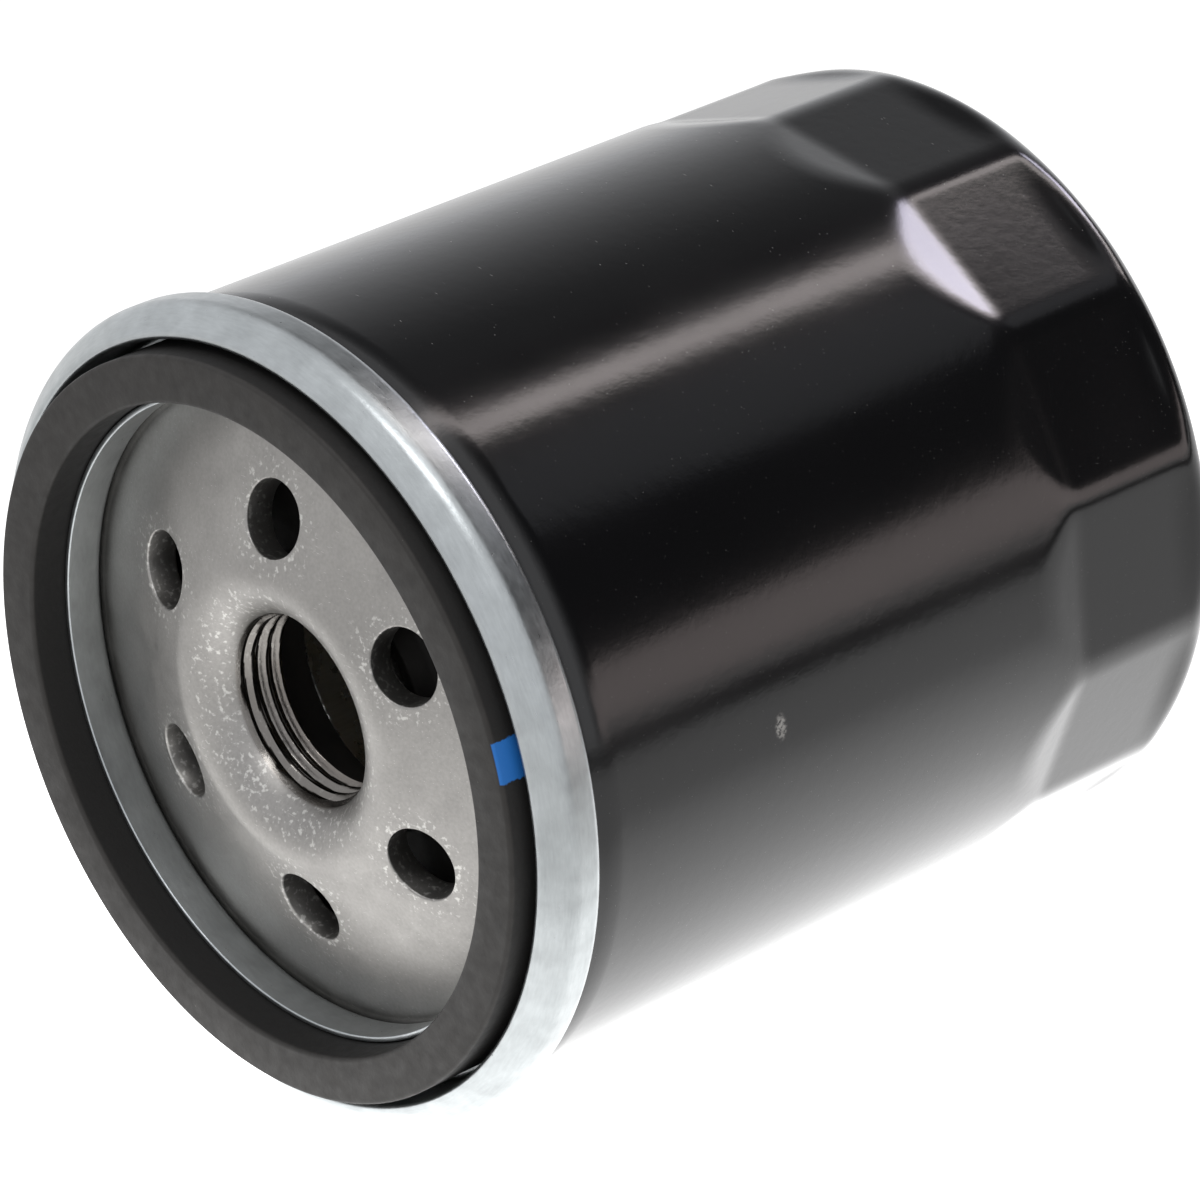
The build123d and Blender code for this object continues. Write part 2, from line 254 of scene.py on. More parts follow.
def in_mm(group):
    """The group's lengths in millimetres, in which the meshes are drawn, and its other values."""
    values = {}
    for name in group.__annotations__:
        value = getattr(group, name)
        unit = group.bl_rna.properties[name].unit
        values[name] = value / MM if unit == "LENGTH" else value
    return SimpleNamespace(**values)


# ---- turning, bending and finishing meshes ----


def section(points, bends, segments, closed=False):
    """A turned piece's section line, as (radius, along the axis), with its corners rounded."""
    bm = bmesh.new()
    corners = [bm.verts.new((radius, along, 0)) for radius, along in points]
    pairs = list(zip(corners, corners[1:]))
    if closed:
        pairs.append((corners[-1], corners[0]))
    for pair in pairs:
        bm.edges.new(pair)
    for corner, bend in zip(corners, bends):
        if bend:
            sides = [edge.other_vert(corner).co - corner.co for edge in corner.link_edges]
            reach = bend / math.tan(sides[0].angle(sides[1]) / 2)
            bmesh.ops.bevel(
                bm, geom=[corner], offset=reach, offset_type="OFFSET", segments=segments,
                profile=0.5, affect="VERTICES", material=-1, clamp_overlap=False,
            )
    return bm


def turn(bm, steps):
    """Spins the section right round the axis, and closes the seam and any pole."""
    line = bm.verts[:] + bm.edges[:]
    bmesh.ops.spin(
        bm, geom=line, cent=(0, 0, 0), axis=AXIS, angle=FULL_TURN, steps=steps, use_merge=True
    )
    bmesh.ops.remove_doubles(bm, verts=bm.verts, dist=WELD)
    bmesh.ops.recalc_face_normals(bm, faces=bm.faces)


def thicken(bm, thickness):
    """Gives an open sheet its thickness, behind the side that its faces look out of."""
    bmesh.ops.solidify(bm, geom=bm.faces[:], thickness=thickness)


def finished(name, bm, material, nodes, body=None):
    """The finished piece in metres: smooth but for its creases, in its finish, on its body."""
    bmesh.ops.scale(bm, vec=(MM, MM, MM), verts=bm.verts)
    for face in bm.faces:
        face.smooth = True
    for edge in bm.edges:
        edge.smooth = edge.calc_face_angle(math.pi) < CREASE
    mesh = bpy.data.meshes.new(name)
    bm.to_mesh(mesh)
    bm.free()
    mesh.materials.append(material)
    piece = bpy.data.objects.new(name, mesh)
    bpy.context.scene.collection.objects.link(piece)
    if body:
        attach(piece, body)
    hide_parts(*nodes)
    return piece


def soft_min(a, b, reach):
    """The smaller of two lengths, with the change from one to the other rounded."""
    near = max(reach - abs(a - b), 0) / reach
    return min(a, b) - near * near * reach / 4


def soft_step(value):
    """0 below 0, 1 above 1, and smooth between."""
    value = min(max(value, 0), 1)
    return value * value * (3 - 2 * value)


# ---- nodes ----

# What a node does: multiply, multiply and add on, tone a colour, lay one colour over another
# by a share, and go smoothly from 0 at one value to 1 at the next.
TIMES = {"operation": "MULTIPLY"}
ADDED = {"operation": "MULTIPLY_ADD"}
TONED = {"operation": "SCALE"}
OVER = {"data_type": "RGBA", "out": 2}
EASED = {"interpolation_type": "SMOOTHSTEP"}


def add(tree, kind, inputs=(), out=0, **settings):
    """Adds a node with its settings and links, and gives one of its outputs."""
    made = tree.nodes.new("ShaderNode" + kind)
    for name, value in settings.items():
        setattr(made, name, value)
    fill(made, inputs if isinstance(inputs, dict) else dict(enumerate(inputs)))
    return made.outputs[out]


def fill(node, inputs):
    """Gives a node's inputs values, or links from other nodes' outputs."""
    for name, value in inputs.items():
        if isinstance(value, bpy.types.NodeSocket):
            node.id_data.links.new(value, node.inputs[name])
        else:
            node.inputs[name].default_value = value


def per(millimetres):
    """The texture scale, in metres, of a pattern whose features have this size."""
    return 1 / (millimetres * MM)


def new_material(name):
    """A new material, what adds nodes to it, and its Object coordinates."""
    material = bpy.data.materials.new(name)
    material.use_nodes = True
    put = partial(add, material.node_tree)
    return material, put, put("TexCoord", out="Object")


def surface(material, put, relief, depth, inputs):
    """Fills the material's shader, with relief of this depth in millimetres."""
    bump = {"Height": relief, "Distance": depth * MM, "Strength": 1.0}
    shader = material.node_tree.nodes["Principled BSDF"]
    fill(shader, {"Normal": put("Bump", bump), **inputs})
    return material


def cloudy(put, place, millimetres, low, high, detail=3.0, spread=0.25):
    """A cloudy pattern of this size that swings between two values."""
    noise = put("TexNoise", {"Vector": place, "Scale": per(millimetres), "Detail": detail})
    return put("MapRange", [noise, 0.5 - spread, 0.5 + spread, low, high])


def hearts(put, cell, start, end, channel, share):
    """The hearts of a share of the cells, which fade between two distances from the middle."""
    cells = cell.node.outputs
    heart = put("MapRange", [cells["Distance"], start, end])
    pick = put("SeparateColor", [cells["Color"]], channel)
    shows = put("Math", [pick, share], operation="LESS_THAN")
    return put("Math", [heart, shows], **TIMES)


def flecks(put, place, spacing, size, share):
    """Small round flecks, one in each cell of the spacing, of which only a share show."""
    cell = put("TexVoronoi", {"Vector": place, "Scale": per(spacing)}, voronoi_dimensions="4D")
    return hearts(put, cell, size / spacing, 0.5 * size / spacing, "Red", share)


def scratches(put, place, turned_by, long, wide, share):
    """Fine scratches in one direction: cells drawn out long, of which only a share show."""
    scale = (per(long), per(wide), per(wide))
    drawn = put("Mapping", {"Vector": place, "Rotation": turned_by, "Scale": scale})
    cell = put("TexVoronoi", {"Vector": drawn, "Scale": 1.0})
    return hearts(put, cell, 0.22, 0.1, "Green", share)


def around_axis(put, place):
    """Where a point is about the filter's axis: its angle, its radius and its way along."""
    parts = put("SeparateXYZ", [place]).node.outputs
    flat = put("VectorMath", [place, (1, 0, 1)], **TIMES)
    return SimpleNamespace(
        angle=put("Math", [parts["Z"], parts["X"]], operation="ARCTAN2"),
        radius=put("VectorMath", [flat], "Value", operation="LENGTH"),
        along=parts["Y"],
        outward=put("VectorMath", [flat], operation="NORMALIZE"),
    )


def ring_grain(put, about, around_turns, across, low, high):
    """Grain drawn out around the axis, as turning and rolling leave it."""
    spot = put("VectorMath", [about.outward, (around_turns,) * 3], **TIMES)
    line = put("Math", [about.radius, about.along])
    layer = put("Math", [line, per(across)], **TIMES)
    drawn = {"Vector": spot, "W": layer, "Scale": 1.0, "Detail": 2.0}
    noise = put("TexNoise", drawn, noise_dimensions="4D")
    return put("MapRange", [noise, 0.3, 0.7, low, high])


def scuff(put, place):
    """One ragged scuff, about 2 mm long, on the wall's right side."""
    away = put("VectorMath", [place, SCUFF_PLACE], operation="SUBTRACT")
    drawn = put("VectorMath", [away, (0.8, 1.0, 0.55)], **TIMES)
    reach = put("VectorMath", [drawn], "Value", operation="LENGTH")
    inside = put("MapRange", [reach, 0.85 * MM, 0.35 * MM], **EASED)
    ragged = cloudy(put, place, 0.35, 0.0, 0.8, spread=0.12)
    return put("Math", [inside, ragged], **TIMES)


# ---- finishes ----


def stoving_enamel(colours):
    """Black stoving enamel on drawn sheet: deep gloss with a fine orange peel and some dust."""
    material, put, place = new_material("black_stoving_enamel")
    peel = cloudy(put, place, 1.1, 0.0, 1.0, detail=2.0)
    grit = cloudy(put, place, 0.22, 0.0, 1.0, detail=1.0)
    haze = cloudy(put, place, 14.0, 0.15, 0.19)
    dust = flecks(put, place, 2.3, 0.14, 0.5)
    lint = scratches(put, place, (0.3, 0.5, 0.9), 1.6, 0.12, 0.012)
    rubs = scratches(put, place, (0.2, 0.1, 1.45), 9.0, 0.09, 0.02)
    scuffed = scuff(put, place)
    specks = put("Math", [dust, lint])
    pale = put("Math", [specks, 0.7], **TIMES)
    paint = put("Mix", {0: pale, 6: colours.enamel, 7: linear("#A09F9C")}, **OVER)
    paint = put("Mix", {0: scuffed, 6: paint, 7: linear("#8E8C88")}, **OVER)
    rubbed = put("Math", [rubs, 0.05], **TIMES)
    paint = put("Mix", {0: rubbed, 6: paint, 7: linear("#8A8A8A")}, **OVER)
    rough = put("Math", [specks, 0.4, haze], **ADDED)
    rough = put("Math", [rubs, 0.15, rough], **ADDED)
    rough = put("Math", [scuffed, 0.5, rough], **ADDED)
    relief = put("Math", [grit, 0.28, peel], **ADDED)
    return surface(
        material, put, relief, 0.0045, {"Base Color": paint, "Roughness": rough, "IOR": 1.5}
    )


def zinc_plate(colours):
    """Blue-passivated zinc on rolled sheet: a cool satin metal with roller marks and pits."""
    material, put, place = new_material("blue_zinc_plate")
    about = around_axis(put, place)
    streaks = ring_grain(put, about, 26.0, 0.3, 0.93, 1.04)
    pits = flecks(put, place, 0.9, 0.12, 0.2)
    tone = cloudy(put, place, 3.0, 0.84, 1.08)
    plate = put("VectorMath", {0: colours.zinc[:3], 3: tone}, **TONED)
    plate = put("VectorMath", {0: plate, 3: streaks}, **TONED)
    dark = put("Math", [pits, 0.75], **TIMES)
    plate = put("Mix", {0: dark, 6: plate, 7: linear("#4A4A48")}, **OVER)
    rolled = ring_grain(put, about, 30.0, 0.15, -0.02, 0.05)
    rough = put("Math", [cloudy(put, place, 1.6, 0.27, 0.36), rolled])
    relief = put("Math", [streaks, 0.4, cloudy(put, place, 1.3, 0.0, 0.5)], **ADDED)
    relief = put("Math", [pits, -0.8, relief], **ADDED)
    relief = put("Math", [relief, cloudy(put, place, 0.3, 0.0, 0.25)])
    return surface(
        material, put, relief, 0.02, {"Base Color": plate, "Metallic": 1.0, "Roughness": rough}
    )


def bare_steel(colours):
    """Pickled hot-rolled steel, pressed: warm grey, dull and grainy, with dried oil stains."""
    material, put, place = new_material("pickled_bare_steel")
    about = around_axis(put, place)
    wear = put("Attribute", out="Fac", attribute_name="near_edge")
    tone = cloudy(put, place, 9.0, 0.84, 1.08)
    grain = cloudy(put, place, 0.35, 0.9, 1.08, detail=4.0)
    sheet = put("VectorMath", {0: colours.steel[:3], 3: tone}, **TONED)
    sheet = put("VectorMath", {0: sheet, 3: grain}, **TONED)
    # Dried oil, thickest near the edges that the wear attribute marks.
    dry = cloudy(put, place, 0.5, 0.0, 1.0, detail=6.0, spread=0.16)
    oily = put("Math", [wear, 0.4, dry], **ADDED)
    oily = put("MapRange", [oily, 1.0, 1.5], **EASED)
    stain = put("Math", [oily, 0.45], **TIMES)
    sheet = put("Mix", {0: stain, 6: sheet, 7: linear("#E6E5E0")}, **OVER)
    nicks = put("Math", [
        scratches(put, place, (0.1, 0.7, 0.4), 3.0, 0.1, 0.06),
        scratches(put, place, (0.1, 2.2, 0.9), 2.2, 0.1, 0.05),
    ])
    bright = put("Math", [nicks, 0.35], **TIMES)
    sheet = put("Mix", {0: bright, 6: sheet, 7: linear("#F0EEE8")}, **OVER)
    spots = flecks(put, place, 1.1, 0.12, 0.10)
    dark = put("Math", [spots, 0.6], **TIMES)
    sheet = put("Mix", {0: dark, 6: sheet, 7: linear("#4B453E")}, **OVER)
    # A brown film low down in the neck, and a darker colour over the threaded bore, past the
    # mouth.
    deep = put("MapRange", [about.along, 0.5 * MM, 5.0 * MM], **EASED)
    low_side = put("MapRange", [about.angle, 0.3, -1.2], **EASED)
    film = put("Math", [deep, low_side], **TIMES)
    film = put("Math", [film, 0.5], **TIMES)
    sheet = put("Mix", {0: film, 6: sheet, 7: linear("#6E5138")}, **OVER)
    # Darker over the whole bore inside the neck, past the mouth.
    in_neck = put("MapRange", [about.radius, 9.75 * MM, 9.4 * MM], **EASED)
    past_mouth = put("MapRange", [about.along, -2.6 * MM, -2.3 * MM], **EASED)
    cut = put("Math", [in_neck, past_mouth], **TIMES)
    cut_share = put("Math", [cut, 0.7], **TIMES)
    sheet = put("Mix", {0: cut_share, 6: sheet, 7: linear("#5F5B57")}, **OVER)
    rough = put("Math", [oily, 0.06, cloudy(put, place, 2.5, 0.36, 0.48)], **ADDED)
    rough = put("Math", [cut, -0.2, rough], **ADDED)
    relief = cloudy(put, place, 0.28, 0.0, 0.6, detail=4.0)
    relief = put("Math", [nicks, -0.4, relief], **ADDED)
    relief = put("Math", [spots, -0.6, relief], **ADDED)
    return surface(
        material, put, relief, 0.012, {"Base Color": sheet, "Metallic": 1.0, "Roughness": rough}
    )


def nitrile_rubber(name, colours, mark=None):
    """Moulded nitrile rubber: near black and dull, with bloom and fine specks."""
    material, put, place = new_material(name)
    tone = cloudy(put, place, 3.0, 0.8, 1.25, detail=5.0)
    body = put("VectorMath", {0: colours.rubber[:3], 3: tone}, **TONED)
    specks = flecks(put, place, 0.8, 0.09, 0.16)
    pale = put("Math", [specks, 0.45], **TIMES)
    body = put("Mix", {0: pale, 6: body, 7: linear("#6C6964")}, **OVER)
    if mark:
        # Painted shade: the walls behind the face, down in the groove, are drawn blacker than the
        # face. Then a dab of paint with ragged ends.
        about = around_axis(put, place)
        wall = put(
            "MapRange", [about.along, mark.face + 0.25 * MM, mark.face + 0.55 * MM], **EASED
        )
        # Painted shade on the walls behind the face.
        body = put("Mix", {0: wall, 6: body, 7: linear("#131211")}, **OVER)
        ragged = put("Math", [about.angle, cloudy(put, place, 0.7, -0.004, 0.004)])
        start, end = mark.mark_start, mark.mark_end
        begun = put("MapRange", [ragged, start - 0.002, start + 0.002], **EASED)
        unended = put("MapRange", [ragged, end + 0.002, end - 0.002], **EASED)
        brushed = put("Math", [begun, unended], **TIMES)
        outside = put(
            "MapRange", [about.radius, mark.outer - 0.25 * MM, mark.outer - 0.12 * MM], **EASED
        )
        painted = put("Math", [brushed, outside], **TIMES)
        body = put("Mix", {0: painted, 6: body, 7: colours.mark}, **OVER)
    rough = put("Math", [specks, 0.1, cloudy(put, place, 1.2, 0.55, 0.72)], **ADDED)
    skin = cloudy(put, place, 0.4, 0.0, 0.6, detail=4.0)
    relief = put("Math", [skin, cloudy(put, place, 2.2, 0.0, 0.4)])
    return surface(material, put, relief, 0.02, {
        "Base Color": body, "Roughness": rough, "IOR": 1.52, "Specular IOR Level": 0.3,
    })


def tinplate(colours):
    """Electrolytic tinplate: bright satin metal with fine rolling lines along the sheet."""
    material, put, place = new_material("electrolytic_tinplate")
    drawn = put("Mapping", {"Vector": place, "Scale": (1.0, 0.06, 1.0)})
    lines = cloudy(put, drawn, 0.25, 0.9, 1.05, detail=2.0)
    tone = cloudy(put, place, 6.0, 0.9, 1.04)
    sheet = put("VectorMath", {0: colours.tinplate[:3], 3: tone}, **TONED)
    sheet = put("VectorMath", {0: sheet, 3: lines}, **TONED)
    rough = cloudy(put, place, 2.0, 0.22, 0.34)
    return surface(
        material, put, lines, 0.006, {"Base Color": sheet, "Metallic": 1.0, "Roughness": rough}
    )


def spring_wire(colours):
    """Oil-tempered spring wire: dark satin metal with drawing marks and a brown oil film."""
    material, put, place = new_material("oil_tempered_wire")
    film = cloudy(put, place, 2.5, 0.0, 0.55)
    wire = put("Mix", {0: film, 6: colours.spring, 7: linear("#4A3F34")}, **OVER)
    wire = put("VectorMath", {0: wire, 3: cloudy(put, place, 0.3, 0.88, 1.08)}, **TONED)
    rough = cloudy(put, place, 1.0, 0.3, 0.42)
    marks = cloudy(put, place, 0.2, 0.0, 1.0)
    return surface(
        material, put, marks, 0.006, {"Base Color": wire, "Metallic": 1.0, "Roughness": rough}
    )


def filter_paper(colours):
    """Resin-cured filter paper: matt straw yellow with a felt of fibres and dimples."""
    material, put, place = new_material("resin_cured_paper")
    felt = cloudy(put, place, 0.18, 0.86, 1.08, detail=5.0)
    sheet = put("VectorMath", {0: colours.paper[:3], 3: felt}, **TONED)
    sheet = put("VectorMath", {0: sheet, 3: cloudy(put, place, 12.0, 0.92, 1.05)}, **TONED)
    fibres = scratches(put, place, (0.6, 0.4, 1.1), 1.4, 0.08, 0.15)
    pale = put("Math", [fibres, 0.4], **TIMES)
    sheet = put("Mix", {0: pale, 6: sheet, 7: linear("#F1DDAE")}, **OVER)
    rough = cloudy(put, place, 0.5, 0.8, 0.92)
    relief = put("Math", [felt, cloudy(put, place, 1.4, 0.0, 0.5)])
    return surface(
        material, put, relief, 0.03, {"Base Color": sheet, "Roughness": rough, "IOR": 1.45}
    )


def cured_paste(name, base):
    """A cured paste, such as plastisol or seam compound: smooth, slightly waxy, a few bubbles."""
    material, put, place = new_material(name)
    bubbles = flecks(put, place, 1.6, 0.25, 0.3)
    paste = put("VectorMath", {0: base[:3], 3: cloudy(put, place, 3.0, 0.88, 1.1)}, **TONED)
    shade = put("MapRange", [bubbles, 2.0, -0.3], **EASED)
    paste = put("VectorMath", {0: paste, 3: shade}, **TONED)
    rough = cloudy(put, place, 1.5, 0.38, 0.5)
    relief = put("Math", [bubbles, -1.0, cloudy(put, place, 1.8, 0.0, 0.6)], **ADDED)
    return surface(
        material, put, relief, 0.05, {"Base Color": paste, "Roughness": rough, "IOR": 1.5}
    )


def studio_floor(colours):
    """White sweep that glows: painted light, brightest in a pool under the filter, so it shows
    hardly a shadow.
    """
    material, put, place = new_material("white_floor_painted_glow")
    near = {"Vector": place, "Location": (0, -0.036, 0), "Scale": (1.0, 0.72, 0.0)}
    away = put("VectorMath", [put("Mapping", near)], "Value", operation="LENGTH")
    fill(material.node_tree.nodes["Principled BSDF"], {
        "Base Color": linear("#303030"),
        "Roughness": cloudy(put, place, 60.0, 0.5, 0.56),
        "Emission Color": colours.floor,
        # Painted light: a pool of glow, strongest close under the filter, falling to an even glow
        # further out.
        "Emission Strength": put("MapRange", [away, 0.04, 0.12, 2.55, 1.0]),
    })
    return material


def black_card():
    """Black flocked card: it swallows nearly all light, with a faint felt."""
    material, put, place = new_material("black_flocked_card")
    fill(material.node_tree.nodes["Principled BSDF"], {
        "Base Color": linear("#060606"),
        "Roughness": cloudy(put, place, 1.0, 0.85, 0.95),
        "Specular IOR Level": 0.1,
    })
    return material


# ---- pieces ----


class FILTER_OT_can(bpy.types.Operator):
    """Draw the can, with its wrench flats, its crown and its folded edge"""

    bl_idname = "oil_filter.can"
    bl_label = "Can"

    # Millimetres between rows of faces: on the flats' ramps, up the flats, below the shoulder.
    RAMP_ROW, UPPER_ROW, LAST_ROW = 0.35, 1.0, 0.3
    NECK_BEND = 6.0
    BEND_STEPS = 12
    # How far before the ramps the wall is still round.
    ROUND = 3

    def execute(self, context):
        size = in_mm(context.scene.filter_can)
        shoulder = size.shoulder + size.shoulder_bend
        lower = [size.neck_end + 1.5, 18.0, 36.0, size.flat_start - 1.6]
        ramp = [size.flat_start - 1.2 + self.RAMP_ROW * i for i in range(24)]
        upper = [ramp[-1] + self.UPPER_ROW * i for i in range(1, 12)]
        rows = [row for row in lower + ramp + upper if row < size.shoulder - self.LAST_ROW]
        points = [
            (size.fold_radius, size.fold_end),
            (size.fold_radius, size.fold_front),
            (size.neck_radius, size.fold_front),
            (size.neck_radius, size.neck_start),
            (size.radius, size.neck_end),
            *[(size.radius, along) for along in rows],
            (size.radius, shoulder),
            (size.crown_flat, size.end),
            (0, size.end),
        ]
        fold = (size.fold_radius - size.neck_radius) * 0.49
        bends = [0, fold, fold, self.NECK_BEND, self.NECK_BEND] + [0] * len(rows)
        bends += [size.shoulder_bend, size.crown_bend, 0]
        bm = section(points, bends, self.BEND_STEPS)
        turn(bm, size.steps)
        self.press_flats(bm, size)
        thicken(bm, size.wall)
        material = stoving_enamel(context.scene.filter_colours)
        finished("can_shell", bm, material, ["can"], "housing")
        return {"FINISHED"}

    def press_flats(self, bm, size):
        """Sinks the wrench flats into the wall, softly, as a die does through paint."""
        step = FULL_TURN / size.flats
        apothem = size.radius * math.cos(step / 2)
        rise = (size.radius - apothem) / (size.flat_full - size.flat_start)
        for vertex in bm.verts:
            x, along, z = vertex.co
            if along < size.flat_start - self.ROUND:
                continue
            fade = 1 - soft_step((along - size.shoulder) / size.flat_runout)
            off = (math.atan2(z, x) - size.first_arris) % step - step / 2
            out = -soft_min(0, (along - size.flat_full) * rise, size.ramp_arris / 2)
            flat = (apothem + out) / math.cos(off)
            beside = (apothem + out) / math.cos(step - abs(off))
            sunk = soft_min(flat, beside, size.arris)
            sunk = soft_min(sunk, size.radius, size.ramp_arris)
            grown = 1 - fade * (size.radius - sunk) / size.radius
            vertex.co.x *= grown
            vertex.co.z *= grown


class FILTER_OT_seam(bpy.types.Operator):
    """Roll the plated lid: gasket groove inside, double seam outside"""

    bl_idname = "oil_filter.seam"
    bl_label = "Seamed lid"

    CUT_ROUNDING = 0.16
    BEND_STEPS = 9

    def execute(self, context):
        size = in_mm(context.scene.filter_seam)
        points = [
            (size.groove_inner, size.flange_edge),
            (size.groove_inner, size.groove_floor),
            (size.groove_outer, size.groove_floor),
            (size.groove_outer, size.front),
            (size.outside, size.slope_end),
            (size.outside, size.back),
            (size.hook, size.back),
            (size.hook, size.hook_end),
        ]
        groove, fold = size.groove_bend, size.fold_bend
        bends = [0, groove, groove, size.front_bend, size.round_bend, fold, fold, 0]
        bm = section(points, bends, self.BEND_STEPS)
        turn(bm, size.steps)
        thicken(bm, size.sheet)
        self.ease_edges(bm, size)
        material = zinc_plate(context.scene.filter_colours)
        nodes = ["seaming_lid"]
        finished("seam_ring", bm, material, nodes, "housing")
        return {"FINISHED"}

    def ease_edges(self, bm, size):
        """Rounds the flange's cut edge."""
        cut = [
            edge for edge in bm.edges
            if edge.calc_face_angle(0) > SHARP
            and all(vertex.co.y < size.flange_edge + 0.05 for vertex in edge.verts)
            and all(math.hypot(v.co.x, v.co.z) < size.groove_inner + 0.1 for v in edge.verts)
        ]
        bmesh.ops.bevel(
            bm, geom=cut, offset=self.CUT_ROUNDING, offset_type="OFFSET", segments=3, profile=0.5,
            affect="EDGES", material=-1,
        )


class FILTER_OT_gasket(bpy.types.Operator):
    """Mould the gasket, with its paint mark"""

    bl_idname = "oil_filter.gasket"
    bl_label = "Gasket"

    def execute(self, context):
        size = in_mm(context.scene.filter_gasket)
        points = [
            (size.inner, size.face),
            (size.outer, size.face),
            (size.outer, size.back),
            (size.inner, size.back),
        ]
        bm = section(points, [size.edge] * len(points), 5, closed=True)
        turn(bm, size.steps)
        mark = context.scene.filter_gasket
        material = nitrile_rubber("moulded_nitrile_rubber", context.scene.filter_colours, mark)
        finished("gasket_ring", bm, material, ["gasket"], "housing")
        return {"FINISHED"}


class FILTER_OT_plate(bpy.types.Operator):
    """Press the base plate, pierce its inlets and cut its thread"""

    bl_idname = "oil_filter.plate"
    bl_label = "Base plate"

    # One inlet's share of the cone: how far it reaches in and out from the inlets' ring, its
    # steps around and outwards, and its rings of edges from the sides to the inlet.
    REACH_IN, REACH_OUT = 4.15, 5.4
    ARC_STEPS, SIDE_STEPS, RINGS = 24, 14, 9
    MOUTH_STEPS, NECK_STEPS, BEND_STEPS = 48, 26, 4
    RIM_ROW = 32.0
    # The thread's form: the share of a flank that is crest, and that its two sides take.
    CREST, FLANKS = 0.12, 0.72
    # Wear reaches this far from an inlet's edge or from the mouth's lip, in millimetres.
    WEAR = 4.0

    def execute(self, context):
        size = in_mm(context.scene.filter_plate)
        self.crest = -size.mouth / math.tan((math.pi / 2 - size.slope) / 2)
        inner, outer = size.ring - self.REACH_IN, size.ring + self.REACH_OUT
        bm = self.pierced_sector(size, inner, outer)
        everything = bm.verts[:] + bm.edges[:] + bm.faces[:]
        bmesh.ops.spin(
            bm, geom=everything, cent=(0, 0, 0), axis=AXIS, angle=FULL_TURN,
            steps=size.inlets, use_duplicate=True, use_merge=False,
        )
        bmesh.ops.remove_doubles(bm, verts=bm.verts, dist=0.01)
        rims = [edge for edge in bm.edges if edge.is_boundary]
        self.lathe_on(bm, self.ring_at(rims, inner), self.neck_rows(size, inner))
        self.lathe_on(bm, self.ring_at(rims, outer), self.rim_rows(size, outer))
        bmesh.ops.recalc_face_normals(bm, faces=bm.faces)
        if sum(face.normal.y for face in bm.faces) > 0:
            bmesh.ops.reverse_faces(bm, faces=bm.faces)
        near = bm.verts.layers.float.new("near_edge")
        thicken(bm, size.thickness)
        self.ease_inlets(bm, size)
        self.cut_thread(bm, size)
        self.mark_edges(bm, size, near)
        material = bare_steel(context.scene.filter_colours)
        finished("pressed_plate", bm, material, ["base_plate"], "housing")
        return {"FINISHED"}

    def front(self, size, radius):
        """The plate's front on its cone, along the axis."""
        return self.crest + (radius - size.neck) * math.tan(size.slope)

    def pierced_sector(self, size, inner, outer):
        """One inlet's share of the cone: rings of edges that run from its sides to the inlet."""
        share = FULL_TURN / size.inlets
        bm = bmesh.new()
        ends = [bm.verts.new((radius, 0, 0)) for radius in (inner, outer)]
        side = bm.edges.new(ends)
        bmesh.ops.subdivide_edges(bm, edges=[side], cuts=self.SIDE_STEPS - 1)
        bmesh.ops.rotate(
            bm, cent=(0, 0, 0), verts=bm.verts,
            matrix=Matrix.Rotation(-(size.first_inlet - share / 2), 3, "Y"),
        )
        bmesh.ops.spin(
            bm, geom=bm.verts[:] + bm.edges[:], cent=(0, 0, 0), axis=AXIS, angle=-share,
            steps=self.ARC_STEPS,
        )
        inside = [vertex for vertex in bm.verts if not vertex.is_boundary]
        bmesh.ops.delete(bm, geom=inside, context="VERTS")
        loop = [edge for edge in bm.edges]
        faces = bm.faces[:]
        if faces:
            bmesh.ops.delete(bm, geom=faces, context="FACES_ONLY")
        outward = Vector((math.cos(size.first_inlet), 0, math.sin(size.first_inlet)))
        middle = outward * size.ring
        squeeze = math.cos(size.slope)
        for ring in range(self.RINGS):
            last = ring + 1 == self.RINGS
            made = bmesh.ops.extrude_edge_only(bm, edges=loop)["geom"]
            loop = [item for item in made if isinstance(item, bmesh.types.BMEdge)]
            rim = [item for item in made if isinstance(item, bmesh.types.BMVert)]
            loop = [edge for edge in loop if all(vertex in rim for vertex in edge.verts)]
            share_left = 1 if last else 1 / (self.RINGS - ring)
            for vertex in rim:
                away = vertex.co - middle
                across = away.dot(outward)
                beside = away - outward * across
                target = (outward * across + beside).normalized() * size.inlet
                target -= outward * target.dot(outward) * (1 - squeeze)
                vertex.co = middle + away.lerp(target, share_left ** 0.8)
        for vertex in bm.verts:
            vertex.co.y = self.front(size, math.hypot(vertex.co.x, vertex.co.z))
        return bm

    def ring_at(self, edges, radius):
        """The edges of the ring that has this radius."""
        return [
            edge for edge in edges
            if all(abs(math.hypot(v.co.x, v.co.z) - radius) < 0.05 for v in edge.verts)
        ]

    def lathe_on(self, bm, loop, rows):
        """Carries a ring of edges on through rows of (radius, along the axis)."""
        for radius, along in rows:
            made = bmesh.ops.extrude_edge_only(bm, edges=loop)["geom"]
            rim = {item for item in made if isinstance(item, bmesh.types.BMVert)}
            loop = [
                item for item in made
                if isinstance(item, bmesh.types.BMEdge) and all(v in rim for v in item.verts)
            ]
            for vertex in rim:
                grown = radius / math.hypot(vertex.co.x, vertex.co.z)
                vertex.co = (vertex.co.x * grown, along, vertex.co.z * grown)

    def neck_rows(self, size, inner):
        """Rows from the cone round the mouth's bend and along the neck."""
        centre = size.neck + size.mouth
        rows = []
        for i in range(self.MOUTH_STEPS + 1):
            lean = (math.pi / 2 + size.slope) * i / self.MOUTH_STEPS - size.slope
            rows.append((centre - size.mouth * math.sin(lean), -size.mouth * math.cos(lean)))
        rows += [
            (size.neck, size.neck_end * i / self.NECK_STEPS)
            for i in range(1, self.NECK_STEPS + 1)
        ]
        return [row for row in rows if row[0] < inner - 0.1]

